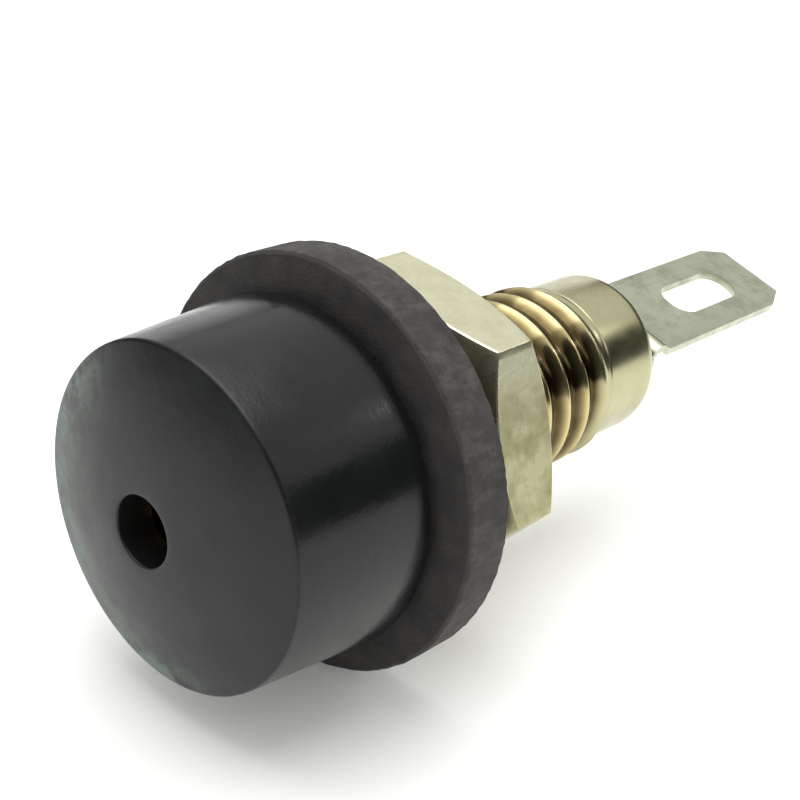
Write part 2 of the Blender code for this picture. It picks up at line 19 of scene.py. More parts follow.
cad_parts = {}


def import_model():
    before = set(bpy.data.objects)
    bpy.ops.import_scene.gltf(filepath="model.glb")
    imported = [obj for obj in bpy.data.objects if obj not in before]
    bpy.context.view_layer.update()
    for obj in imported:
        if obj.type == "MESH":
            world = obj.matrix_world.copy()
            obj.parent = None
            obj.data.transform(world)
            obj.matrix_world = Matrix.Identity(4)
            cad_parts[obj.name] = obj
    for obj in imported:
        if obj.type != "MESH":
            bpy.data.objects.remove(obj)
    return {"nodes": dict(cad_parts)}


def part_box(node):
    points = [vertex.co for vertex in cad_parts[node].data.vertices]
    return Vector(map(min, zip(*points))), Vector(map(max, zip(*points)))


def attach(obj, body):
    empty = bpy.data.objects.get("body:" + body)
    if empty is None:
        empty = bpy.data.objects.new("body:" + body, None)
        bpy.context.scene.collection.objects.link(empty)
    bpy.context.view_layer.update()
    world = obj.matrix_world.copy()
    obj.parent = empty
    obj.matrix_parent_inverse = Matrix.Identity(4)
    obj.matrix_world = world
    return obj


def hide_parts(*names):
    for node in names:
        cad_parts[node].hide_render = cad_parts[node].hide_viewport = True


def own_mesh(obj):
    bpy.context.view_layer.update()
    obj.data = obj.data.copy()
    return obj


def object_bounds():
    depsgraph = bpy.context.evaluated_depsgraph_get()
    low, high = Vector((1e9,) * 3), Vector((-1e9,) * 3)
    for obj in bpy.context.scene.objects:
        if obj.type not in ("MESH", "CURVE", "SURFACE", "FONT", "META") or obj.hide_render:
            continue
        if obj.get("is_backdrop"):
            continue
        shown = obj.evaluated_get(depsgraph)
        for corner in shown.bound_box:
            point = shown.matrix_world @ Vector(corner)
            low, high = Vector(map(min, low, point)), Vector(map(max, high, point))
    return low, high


LOG = logging.getLogger("fuse_holder")
MM = 0.001
TAU = math.tau
TABLE_GAP = 0.00002
MERGE_DISTANCE = 1e-7
SMOOTH_ANGLE = math.radians(32.0)
QUARTER_TURN = math.radians(90.0)
SIXTH_TURN = math.radians(60.0)
ON_SURFACE = 0.02  # mm within which a vertex counts as lying on a turned surface
LOW, HIGH = 0, 1
X, Y = 0, 1

Point = tuple[float, float]
Corner = tuple[float, float, float]
Socket = bpy.types.NodeSocket
Adder = Callable[..., Socket]
Rings = tuple[np.ndarray, np.ndarray]


class Body(Enum):
    """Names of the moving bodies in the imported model."""

    BARREL = "barrel"
    WASHER = "washer"
    NUT = "nut"
    FUSE = "fuse"
    CAP_CONTACT = "cap_contact"
    CAP = "cap"
    REAR_CONTACT = "rear_contact"


# ----------------------------------------------------------------------------- materials


def linear(code: str) -> tuple[float, float, float, float]:
    """Turn an sRGB hex colour into linear RGBA.

    Args:
        code: Six hex digits.

    Returns:
        Linear red, green, blue and an alpha of one.
    """
    channels = [int(code[i : i + 2], 16) / 255.0 for i in (0, 2, 4)]
    r, g, b = [c / 12.92 if c <= 0.04045 else ((c + 0.055) / 1.055) ** 2.4 for c in channels]
    return (r, g, b, 1.0)


def add_node(
    tree: bpy.types.NodeTree,
    kind: str,
    inputs: dict[str | int, Any] | Sequence[Any] = (),
    output: str | int = 0,
    **settings: Any,
) -> Socket:
    """Add one shader node with its settings and links.

    Args:
        tree: The material's node tree.
        kind: The node's type name, without its ShaderNode prefix.
        inputs: Sockets to link, numbers or hex colours, in the inputs' order or by name or number.
        output: Name or number of the output that is wanted.
        settings: The node's own attributes.

    Returns:
        The wanted output socket.
    """
    node = tree.nodes.new(f"ShaderNode{kind}")
    for name, value in settings.items():
        setattr(node, name, value)
    for key, value in inputs.items() if isinstance(inputs, dict) else enumerate(inputs):
        if isinstance(value, bpy.types.NodeSocket):
            tree.links.new(value, node.inputs[key])
        else:
            node.inputs[key].default_value = linear(value) if isinstance(value, str) else value
    return node.outputs[output]


def stretched(add: Adder, x: float = 1.0, y: float = 1.0, z: float = 1.0) -> Socket:
    """Return object coordinates scaled along each axis; under 1 draws a pattern out."""
    return add("Mapping", {"Vector": add("TexCoord", output="Object"), "Scale": (x, y, z)})


def axis_parts(add: Adder) -> tuple[Socket, Socket, Socket, Socket]:
    """Return x, y, z and the distance from the barrel axis, in metres."""
    x, y, z = add("SeparateXYZ", (stretched(add),)).node.outputs
    squares = add("Math", (x, x, add("Math", (z, z), operation="MULTIPLY")), operation="MULTIPLY_ADD")
    return x, y, z, add("Math", (squares,), operation="SQRT")


def features(vector: Socket, size_mm: float, detail: float = 3.0, rough: float = 0.55) -> dict[str, Any]:
    """Return texture inputs for features that are size_mm across."""
    return {"Vector": vector, "Scale": 1.0 / (size_mm * MM), "Detail": detail, "Roughness": rough}


def relief(height: Socket, depth_mm: float, strength: float) -> dict[str, Any]:
    """Return bump inputs for a height that spans depth_mm."""
    return {"Height": height, "Distance": depth_mm * MM, "Strength": strength}


def shades(factor: Socket, first: Socket | str, second: Socket | str) -> dict[int, Any]:
    """Return colour-mix inputs that go from the first colour to the second."""
    return {0: factor, 6: first, 7: second}


@dataclass(frozen=True)
class Finish:
    """Base of every finish: a Principled shader, to which each finish adds its own detail."""

    name: str
    colour: str
    roughness: float
    metallic: float = 0.0
    ior: float = 1.5

    def fixed(self) -> dict[str, Any]:
        """Return the shader values that are the same all over; a metal keeps the default IOR."""
        values = {"Base Color": linear(self.colour), "Roughness": self.roughness, "Metallic": self.metallic}
        return values if self.metallic else {**values, "IOR": self.ior}

    def detail(self, add: Adder) -> dict[str, Socket]:
        """Return the sockets that vary over the surface, by the shader input that they feed."""
        return {}

    def build(self) -> bpy.types.Material:
        """Make the material from its fixed values and its detail."""
        mat = bpy.data.materials.new(self.name)
        mat.use_nodes = True
        tree = mat.node_tree
        shader = tree.nodes["Principled BSDF"]
        for name, value in self.fixed().items():
            shader.inputs[name].default_value = value
        for name, socket in self.detail(partial(add_node, tree)).items():
            tree.links.new(socket, shader.inputs[name])
        return mat


@dataclass(frozen=True)
class MouldedPhenolic(Finish):
    """Compression-moulded black phenolic: glossy sides, a handled and dusty face."""

    dust: str = "6B7872"
    mottle: str = "121414"
    face_y: float = -10.05
    face_fade: float = 0.35
    rim_r: float = 7.8
    dusty_side: float = -4.5
    most_dust: float = 0.85
    specular: float = 0.32

    def fixed(self) -> dict[str, Any]:
        """Set the gloss of bare phenolic."""
        return {**super().fixed(), "Specular IOR Level": self.specular}

    def detail(self, add: Adder) -> dict[str, Socket]:
        """Mix moulding mottle, handling smudges on the face and fine scratches."""
        flat = stretched(add)
        x, y, z, radius = axis_parts(add)
        mottle = add("MapRange", (add("TexNoise", features(flat, 1.6)), 0.35, 0.7))
        body = add("Mix", shades(mottle, self.mottle, self.colour), 2, data_type="RGBA")
        # dust lies on the dome, most of all in a ring near the rim on one side
        on_face = add("MapRange", (y, self.face_y * MM, (self.face_y - self.face_fade) * MM))
        ring = add("MapRange", (radius, self.rim_r * 0.62 * MM, self.rim_r * 0.93 * MM))
        lower_left = add("Math", (z, 0.55, x), operation="MULTIPLY_ADD")
        side = add("MapRange", (lower_left, 0.0, self.dusty_side * MM))
        ring_side = add("Math", (ring, side), operation="MULTIPLY")
        patches = add("MapRange", (add("TexNoise", features(flat, 1.3, 6.0, 0.68)), 0.42, 0.6))
        film = add("MapRange", (add("TexNoise", features(flat, 4.0, 4.0)), 0.4, 0.8, 0.0, 0.04))
        dusty = add("Math", (ring_side, patches, film), operation="MULTIPLY_ADD")
        cover = add("Math", (on_face, dusty), operation="MULTIPLY")
        limited = add("Math", (cover, self.most_dust), operation="MINIMUM")
        # the polish varies a little, and is duller on the face and under the dust
        polish = add("TexNoise", features(flat, 2.2, 5.0))
        rough = add("MapRange", (polish, 0.3, 0.7, self.roughness - 0.05, self.roughness + 0.07))
        rough = add("Math", (on_face, 0.14, rough), operation="MULTIPLY_ADD")
        # a faint orange peel from the mould, with scratches drawn coarser than real ones to show
        scratch = add("TexNoise", features(stretched(add, z=0.06), 0.12, 2.0))
        peel = add("TexNoise", features(flat, 0.45, 2.0))
        height = add("Math", (scratch, 0.5, peel), operation="MULTIPLY_ADD")
        return {
            "Base Color": add("Mix", shades(limited, body, self.dust), 2, data_type="RGBA"),
            "Roughness": add("Math", (cover, 0.25, rough), operation="MULTIPLY_ADD"),
            "Normal": add("Bump", relief(height, 0.02, 0.35)),
        }


@dataclass(frozen=True)
class CutRubber(Finish):
    """Black rubber stamped from sheet: matt faces and a rim with cutting streaks."""

    rim: str = "56524E"
    rim_r: float = 9.94

    def detail(self, add: Adder) -> dict[str, Socket]:
        """Streak the rim along the axis and give the faces a fine grain."""
        flat = stretched(add)
        radius = axis_parts(add)[3]
        on_rim = add("MapRange", (radius, (self.rim_r - 0.22) * MM, (self.rim_r - 0.08) * MM))
        # the cutter's marks run across the sheet, so their noise is longer along Y, and it is
        # broken up by torn patches
        marks = add("TexNoise", features(stretched(add, y=0.45), 0.5, 5.0, 0.65))
        torn = add("TexNoise", features(stretched(add, 0.6, 1.3, 0.6), 1.1, 5.0, 0.7))
        streaks = add("Math", (marks, torn), operation="ADD")
        worn = add("Math", (add("MapRange", (streaks, 0.84, 1.32, 0.0, 0.75)), on_rim), operation="MULTIPLY")
        bloom = add("MapRange", (add("TexNoise", features(flat, 1.5, 4.0)), 0.4, 0.75, 0.0, 0.3))
        pale = add("Math", (worn, bloom), operation="MAXIMUM")
        # grit is drawn coarser than the rubber's filler, to show
        grit = add("TexNoise", features(flat, 0.14, 3.0, 0.6))
        cut = add("Math", (streaks, on_rim), operation="MULTIPLY")
        height = add("Math", (cut, 0.8, grit), operation="MULTIPLY_ADD")
        return {
            "Base Color": add("Mix", shades(pale, self.colour, self.rim), 2, data_type="RGBA"),
            "Normal": add("Bump", relief(height, 0.09, 0.7)),
        }


@dataclass(frozen=True)
class PlatedBrass(Finish):
    """Turned brass with a pale, slightly tarnished plating: soft sheen, a few dark pits and painted shade on
    the lower flats.
    """

    # stain is the colour of the random clouding and also of the painted shade on the lower flats
    stain: str = "9A9268"
    pit: str = "3D3A2C"
    stain_mm: float = 1.4
    pit_mm: float = 1.5
    # heights in mm where the painted shade on the nut begins and where it is full
    shade_start_z: float = 5.6
    shade_full_z: float = 3.4

    def detail(self, add: Adder) -> dict[str, Socket]:
        """Cloud the plating, paint shade on the lower flats, add pits and a fine tumbled texture."""
        flat = stretched(add)
        cloud = add("MapRange", (add("TexNoise", features(flat, self.stain_mm, 6.0, 0.65)), 0.4, 0.68))
        # painted shade: the plating darkens towards the bottom, on all but the uppermost flat
        z = axis_parts(add)[2]
        painted_shade = add("MapRange", (z, self.shade_start_z * MM, self.shade_full_z * MM, 0.0, 0.62))
        cover = add("Math", (cloud, 0.35, painted_shade), operation="MULTIPLY_ADD")
        plating = add("Mix", shades(cover, self.colour, self.stain), 2, data_type="RGBA")
        # one pit in the middle of each cell, and only where a slow noise leaves some
        cells = add("TexVoronoi", {"Vector": flat, "Scale": 1.0 / (self.pit_mm * MM)})
        spot = add("MapRange", (cells, 0.085, 0.045))
        few = add("MapRange", (add("TexNoise", features(flat, 2.6, 1.0)), 0.5, 0.56))
        pits = add("Math", (spot, few), operation="MULTIPLY")
        dark = add("Math", (pits, 0.75), operation="MULTIPLY")
        tumbled = add("TexNoise", features(flat, 0.4, 2.0, 0.5))
        height = add("Math", (pits, -2.0, tumbled), operation="MULTIPLY_ADD")
        return {
            "Base Color": add("Mix", shades(dark, plating, self.pit), 2, data_type="RGBA"),
            "Roughness": add("MapRange", (cloud, 0.0, 1.0, self.roughness - 0.05, self.roughness + 0.08)),
            "Normal": add("Bump", relief(height, 0.012, 0.3)),
        }


@dataclass(frozen=True)
class RolledBrass(Finish):
    """Bright brass shell: burnished thread crests, painted shade in the roots and a paler drawn tail."""

    # root is the colour of the painted shade in the thread roots
    root: str = "3E3018"
    tail: str = "B8B592"
    tail_stain: str = "A9A078"
    root_r: float = 4.36
    crest_r: float = 4.74
    tail_y: float = 14.4

    def detail(self, add: Adder) -> dict[str, Socket]:
        """Darken the thread roots as painted shade, lighten the tail and add turning lines."""
        flat = stretched(add)
        _, y, _, radius = axis_parts(add)
        on_tail = add("MapRange", (y, (self.tail_y - 0.35) * MM, (self.tail_y + 0.25) * MM))
        # painted shade: the colour darkens from the crests to the roots, with a little random grime
        height = add("MapRange", (radius, self.root_r * MM, self.crest_r * MM))
        grime = add("MapRange", (add("TexNoise", features(flat, 1.2, 5.0, 0.65)), 0.3, 0.7, 0.0, 0.14))
        lit = add("Math", (height, height, grime), operation="MULTIPLY_ADD")
        thread = add("Mix", shades(lit, self.root, self.colour), 2, data_type="RGBA")
        cloud = add("MapRange", (add("TexNoise", features(flat, 1.8, 5.0)), 0.35, 0.7))
        pale = add("Math", (cloud, 0.5), operation="MULTIPLY")
        tail = add("Mix", shades(pale, self.tail, self.tail_stain), 2, data_type="RGBA")
        worn = add("MapRange", (cloud, 0.0, 1.0, self.roughness, self.roughness + 0.1))
        # turning and drawing lines run round the shell, so the noise is short along Y only
        lines = add("TexNoise", features(stretched(add, 0.05, 1.0, 0.05), 0.11))
        return {
            "Base Color": add("Mix", shades(on_tail, thread, tail), 2, data_type="RGBA"),
            "Roughness": add("Math", (on_tail, 0.07, worn), operation="MULTIPLY_ADD"),
            "Normal": add("Bump", relief(lines, 0.008, 0.45)),
        }


@dataclass(frozen=True)
class TinnedStrip(Finish):
    """Brass strip dipped in tin: dull grey-green with rolling streaks and darker handling."""

    stain: str = "868C75"
    bright: str = "CDD0BE"

    def detail(self, add: Adder) -> dict[str, Socket]:
        """Streak the strip along its length and cloud it."""
        streaks = add("TexNoise", features(stretched(add, y=0.08), 0.3, 4.0, 0.6))
        cloud = add("TexNoise", features(stretched(add), 1.7, 6.0, 0.65))
        dark = add("MapRange", (cloud, 0.44, 0.7, 0.0, 0.7))
        handled = add("Mix", shades(dark, self.colour, self.stain), 2, data_type="RGBA")
        shine = add("MapRange", (streaks, 0.5, 0.72, 0.0, 0.45))
        height = add("Math", (streaks, cloud), operation="ADD")
        return {
            "Base Color": add("Mix", shades(shine, handled, self.bright), 2, data_type="RGBA"),
            "Roughness": add("MapRange", (cloud, 0.3, 0.7, self.roughness - 0.06, self.roughness + 0.1)),
            "Normal": add("Bump", relief(height, 0.01, 0.45)),
        }


@dataclass(frozen=True)
class TurnedMetal(Finish):
    """Small turned or pressed metal: an even colour with light clouding and tool lines."""

    stain: str = "8A7A4E"
    line_mm: float = 0.12

    def detail(self, add: Adder) -> dict[str, Socket]:
        """Cloud the colour a little and add lines round the axis."""
        cloud = add("MapRange", (add("TexNoise", features(stretched(add), 1.1, 5.0)), 0.4, 0.72))
        tarnish = add("Math", (cloud, 0.45), operation="MULTIPLY")
        lines = add("TexNoise", features(stretched(add, 0.06, 1.0, 0.06), self.line_mm, 2.0))
        return {
            "Base Color": add("Mix", shades(tarnish, self.colour, self.stain), 2, data_type="RGBA"),
            "Roughness": add("MapRange", (cloud, 0.0, 1.0, self.roughness, self.roughness + 0.12)),
            "Normal": add("Bump", relief(lines, 0.006, 0.4)),
        }


@dataclass(frozen=True)
class VulcanisedFibre(Finish):
    """Pressed vulcanised fibre: brown, matt, with short paper fibres in the surface."""

    fibre: str = "9A7350"

    def detail(self, add: Adder) -> dict[str, Socket]:
        """Lay short fibres over a matt ground."""
        strands = add("TexNoise", features(stretched(add, 1.0, 0.25, 0.6), 0.22, 5.0, 0.7))
        bare = add("MapRange", (strands, 0.42, 0.7))
        return {
            "Base Color": add("Mix", shades(bare, self.colour, self.fibre), 2, data_type="RGBA"),
            "Normal": add("Bump", relief(strands, 0.03, 0.5)),
        }


@dataclass(frozen=True)
class DrawnGlass(Finish):
    """Clear drawn soda-lime tube with the faintest draw lines."""

    def fixed(self) -> dict[str, Any]:
        """Let all the light through."""
        return {**super().fixed(), "Transmission Weight": 1.0}

    def detail(self, add: Adder) -> dict[str, Socket]:
        """Ripple the surface along the tube."""
        draw = add("TexNoise", features(stretched(add, y=0.03), 0.8, 1.0))
        return {"Normal": add("Bump", relief(draw, 0.004, 0.3))}


@dataclass(frozen=True)
class WhiteTable(Finish):
    """Matt white laminate table top."""

    cloud: str = "F1F2F0"
    glow: float = 0.0

    def fixed(self) -> dict[str, Any]:
        """Lift the white a little, as a lit paper sweep does."""
        return {**super().fixed(), "Emission Color": linear("FFFFFF"), "Emission Strength": self.glow}

    def detail(self, add: Adder) -> dict[str, Socket]:
        """Break the white up with a barely visible cloud."""
        cloud = add("MapRange", (add("TexNoise", features(stretched(add), 30.0, 2.0)), 0.3, 0.7))
        return {"Base Color": add("Mix", shades(cloud, self.colour, self.cloud), 2, data_type="RGBA")}


@dataclass(frozen=True)
class BlackCard(Finish):
    """Matt black card, which darkens what the metal reflects near the horizon."""


@dataclass(frozen=True)
class Palette:
    """Every finish on the object and in the studio."""

    # seen from outside: glossy black, matt black, pale gold, bright brass, dull grey-green
    phenolic: Finish = MouldedPhenolic("black_phenolic_moulded", "101212", 0.19, ior=1.5)
    rubber: Finish = CutRubber("black_rubber_sheet", "2A2828", 0.82, ior=1.52)
    nut: Finish = PlatedBrass("plated_brass_nut", "DCDCBE", 0.32, 1.0)
    barrel: Finish = RolledBrass("rolled_brass_shell", "CBBB88", 0.13, 1.0)
    lug: Finish = TinnedStrip("tinned_brass_strip", "BFC3AF", 0.34, 1.0)
    # greyish and slightly blurred: plated spring steel, solder, tinned and bare steel wire
    steel: Finish = TurnedMetal("zinc_plated_spring_steel", "B9BAB4", 0.3, 1.0, stain="83837C")
    tin_wire: Finish = TurnedMetal("tinned_fuse_wire", "C9C9C6", 0.22, 1.0, stain="9A9A96")
    solder: Finish = TurnedMetal("soft_solder", "B5B6B2", 0.34, 1.0, stain="8C8D89")
    music_wire: Finish = TurnedMetal("music_wire_spring", "A6A8A6", 0.2, 1.0, stain="6E706E")
    # yellow: turned and clinched brass; reddish: phosphor bronze; warm white mirror: nickel
    insert: Finish = TurnedMetal("turned_brass_insert", "CDB06A", 0.24, 1.0)
    contact: Finish = TurnedMetal("turned_brass_contact", "D2B66F", 0.2, 1.0)
    rivet: Finish = TurnedMetal("clinched_brass_rivet", "C8B074", 0.28, 1.0)
    bronze: Finish = TurnedMetal("phosphor_bronze_clip", "C99A62", 0.24, 1.0, stain="86603A")
    nickel: Finish = TurnedMetal("nickel_plated_ferrule", "CFCBBF", 0.14, 1.0, stain="A39F92")
    # matt brown insulation and clear glass
    sleeve: Finish = VulcanisedFibre("fibre_sleeve", "6A4A33", 0.72)
    bush: Finish = VulcanisedFibre("dark_fibre_bush", "38291F", 0.7, fibre="57422F")
    glass: Finish = DrawnGlass("soda_lime_glass", "FBFDFC", 0.02, ior=1.52)
    # what the object lies on and what its metal reflects
    card: Finish = BlackCard("matt_black_card", "262A28", 0.9)
    table: Finish = WhiteTable("white_table", "F7F7F6", 0.6, glow=0.08)


# ------------------------------------------------------------------------------ modelling


def deselect_all() -> None:
    """Leave edit mode and deselect every object."""
    if bpy.context.object and bpy.context.object.mode != "OBJECT":
        bpy.ops.object.mode_set(mode="OBJECT")
    bpy.ops.object.select_all(action="DESELECT")


def make_active(obj: bpy.types.Object) -> None:
    """Select one object alone and make it active."""
    deselect_all()
    obj.select_set(True)
    bpy.context.view_layer.objects.active = obj


@contextmanager
def edit_mode() -> Iterator[None]:
    """Open the active piece in edit mode with all of it selected, and close it after."""
    bpy.ops.object.mode_set(mode="EDIT")
    bpy.ops.mesh.select_all(action="SELECT")
    yield
    bpy.ops.object.mode_set(mode="OBJECT")


def pick(obj: bpy.types.Object, kind: str, test: Callable[[Any], bool]) -> None:
    """Open a piece in edit mode with only the faces or edges selected that pass a test.

    Args:
        obj: The active piece.
        kind: FACE or EDGE.
        test: Takes a face or an edge and says whether it is wanted.
    """
    with edit_mode():
        bpy.ops.mesh.select_mode(type=kind)
        bpy.ops.mesh.select_all(action="DESELECT")
    for part in obj.data.polygons if kind == "FACE" else obj.data.edges:
        part.select = test(part)
    bpy.ops.object.mode_set(mode="EDIT")


def face_outward() -> None:
    """Turn every face of the piece in edit mode outward."""
    bpy.ops.mesh.select_all(action="SELECT")
    bpy.ops.mesh.normals_make_consistent(inside=False)


def moved_by(place: Corner) -> Matrix:
    """Return a move by a distance in millimetres."""
    return Matrix.Translation([side * MM for side in place])


def block(size: Corner, place: Corner) -> bpy.types.Object:
    """Add a cube stretched to a size about a place, both in millimetres."""
    deselect_all()
    bpy.ops.mesh.primitive_cube_add(size=1.0)
    obj = bpy.context.object
    obj.data.transform(Matrix.Diagonal((*(side * MM for side in size), 1.0)))
    obj.data.transform(moved_by(place))
    return obj


def rod(radius: float, length: float, middle_y: float, vertices: int) -> bpy.types.Object:
    """Add a cylinder along the barrel axis, in millimetres."""
    deselect_all()
    bpy.ops.mesh.primitive_cylinder_add(
        vertices=vertices,
        radius=radius * MM,
        depth=length * MM,
        location=(0.0, middle_y * MM, 0.0),
        rotation=(QUARTER_TURN, 0.0, 0.0),
    )
    return bpy.context.object


def apply_modifier(obj: bpy.types.Object, kind: str, **settings: Any) -> None:
    """Add a modifier, set it and apply it.

    Args:
        obj: The piece.
        kind: The modifier's type name.
        settings: Its values by attribute name.
    """
    make_active(obj)
    mod = obj.modifiers.new(kind.lower(), kind)
    for key, value in settings.items():
        setattr(mod, key, value)
    bpy.ops.object.modifier_apply(modifier=mod.name)


def combine(obj: bpy.types.Object, other: bpy.types.Object, operation: str) -> None:
    """Apply an exact Boolean with another object and remove that object."""
    apply_modifier(obj, "BOOLEAN", operation=operation, solver="EXACT", object=other)
    bpy.data.objects.remove(other, do_unlink=True)


def soften(obj: bpy.types.Object, width_mm: float, angle: float = 38.0) -> None:
    """Round every edge sharper than angle by width_mm and shade the piece smooth."""
    apply_modifier(
        obj,
        "BEVEL",
        width=width_mm * MM,
        segments=2,
        limit_method="ANGLE",
        angle_limit=math.radians(angle),
        use_clamp_overlap=True,
    )
    make_active(obj)
    bpy.ops.object.shade_smooth_by_angle(angle=SMOOTH_ANGLE)
    apply_modifier(obj, "WEIGHTED_NORMAL", keep_sharp=True, weight=50)


def rounded(corners: Sequence[Corner], steps: int = 5) -> list[Point]:
    """Round the corners of a closed profile.

    Args:
        corners: Radius, y and corner radius, in millimetres.
        steps: Points on each rounded corner.

    Returns:
        The profile's points in millimetres.
    """
    points: list[Point] = []
    count = len(corners)
    for index, (radius, y, fillet) in enumerate(corners):
        here = Vector((radius, y))
        if fillet <= 0.0:
            points.append((radius, y))
            continue
        before = Vector(corners[index - 1][:2]) - here
        after = Vector(corners[(index + 1) % count][:2]) - here
        half = before.angle(after) / 2
        reach = min(fillet / math.tan(half), before.length * 0.49, after.length * 0.49)
        first = here + before.normalized() * reach
        last = here + after.normalized() * reach
        for step in range(steps + 1):
            t = step / steps
            spot = first * (1 - t) ** 2 + here * (2 * t * (1 - t)) + last * t**2
            points.append((spot.x, spot.y))
    return points


def turn(name: str, points: Sequence[Point], segments: int = 128) -> bpy.types.Object:
    """Turn a closed profile about the barrel axis.

    Args:
        name: The piece's name.
        points: Radius and y of the profile, in millimetres.
        segments: Steps round the axis.

    Returns:
        A closed, smooth-shaded piece.
    """
    deselect_all()
    bpy.ops.mesh.primitive_circle_add(vertices=len(points), radius=MM, fill_type="NOTHING")
    obj = bpy.context.object
    obj.name = obj.data.name = name
    for vertex, (radius, y) in zip(obj.data.vertices, points):
        vertex.co = (0.0, y * MM, max(radius, 0.0) * MM)
    with edit_mode():
        bpy.ops.mesh.spin(steps=segments, angle=TAU, center=(0, 0, 0), axis=(0, 1, 0))
        bpy.ops.mesh.select_all(action="SELECT")
        bpy.ops.mesh.remove_doubles(threshold=MERGE_DISTANCE)
        bpy.ops.mesh.dissolve_degenerate(threshold=MERGE_DISTANCE)
        bpy.ops.mesh.delete_loose(use_verts=True, use_edges=True, use_faces=False)
        face_outward()
    bpy.ops.object.shade_smooth_by_angle(angle=SMOOTH_ANGLE)
    return obj


def reshape(obj: bpy.types.Object, rule: Callable[..., Rings]) -> None:
    """Move every vertex by a rule in cylindrical coordinates.

    Args:
        obj: The piece.
        rule: Takes radius, y (mm) and angle about +Y, and returns the new radius and y.
    """
    flat = np.zeros(len(obj.data.vertices) * 3)
    obj.data.vertices.foreach_get("co", flat)
    co = flat.reshape(-1, 3) / MM
    radius, angle = np.hypot(co[:, 0], co[:, 2]), np.arctan2(co[:, 0], co[:, 2])
    new_r, new_y = rule(radius, co[:, 1].copy(), angle)
    moved = np.stack([new_r * np.sin(angle), new_y, new_r * np.cos(angle)], axis=1)
    obj.data.vertices.foreach_set("co", (moved * MM).ravel())
    obj.data.update()


def finish_piece(
    obj: bpy.types.Object, finish: bpy.types.Material, body: Body, node: str
) -> None:
    """Dress a piece, put it on its body and let it stand for its CAD node.

    Args:
        obj: The piece.
        finish: Its material.
        body: The body it rides on.
        node: The CAD node that it replaces.
    """
    obj.data.materials.clear()
    obj.data.materials.append(finish)
    obj.data.polygons.foreach_set("material_index", [0] * len(obj.data.polygons))
    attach(obj, body.value)
    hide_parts(node)
    LOG.info("%s: %d faces on %s", obj.name, len(obj.data.polygons), body.value)


def measured(node: str, end: int, axis: int = Y) -> Any:
    """Return a dataclass field that reads one end of a CAD node's box, in millimetres."""
    return field(default_factory=lambda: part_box(node)[end][axis] / MM)


@dataclass(frozen=True)
class Thread:
    """The rolled 3/8 inch thread that the barrel, the insert and the nut share."""

    crest_r: float = 4.76
    depth: float = 0.42
    pitch: float = 1.5875
    rows: int = 16
    sharpness: float = 0.62

    def stations(self, start: float, end: float) -> list[float]:
        """Return evenly spaced y values from start to end, rows to a pitch."""
        count = max(2, round((end - start) / self.pitch * self.rows))
        return [start + (end - start) * i / count for i in range(count + 1)]

    def fall(self, y: np.ndarray, angle: np.ndarray) -> np.ndarray:
        """Return how far the surface lies below the crest, from 0 to 1."""
        wave = 0.5 - 0.5 * np.cos(TAU * (y / self.pitch - angle / TAU))
        return np.maximum(wave, 0.0) ** self.sharpness

    def fade(self, y: np.ndarray, start: float, end: float) -> np.ndarray:
        """Return 1 along the thread, falling to 0 over half a pitch at each end."""
        near = np.minimum(y - start, end - y) / (self.pitch / 2)
        return np.clip(near, 0.0, 1.0)


# ------------------------------------------------------------------------------- assemblies


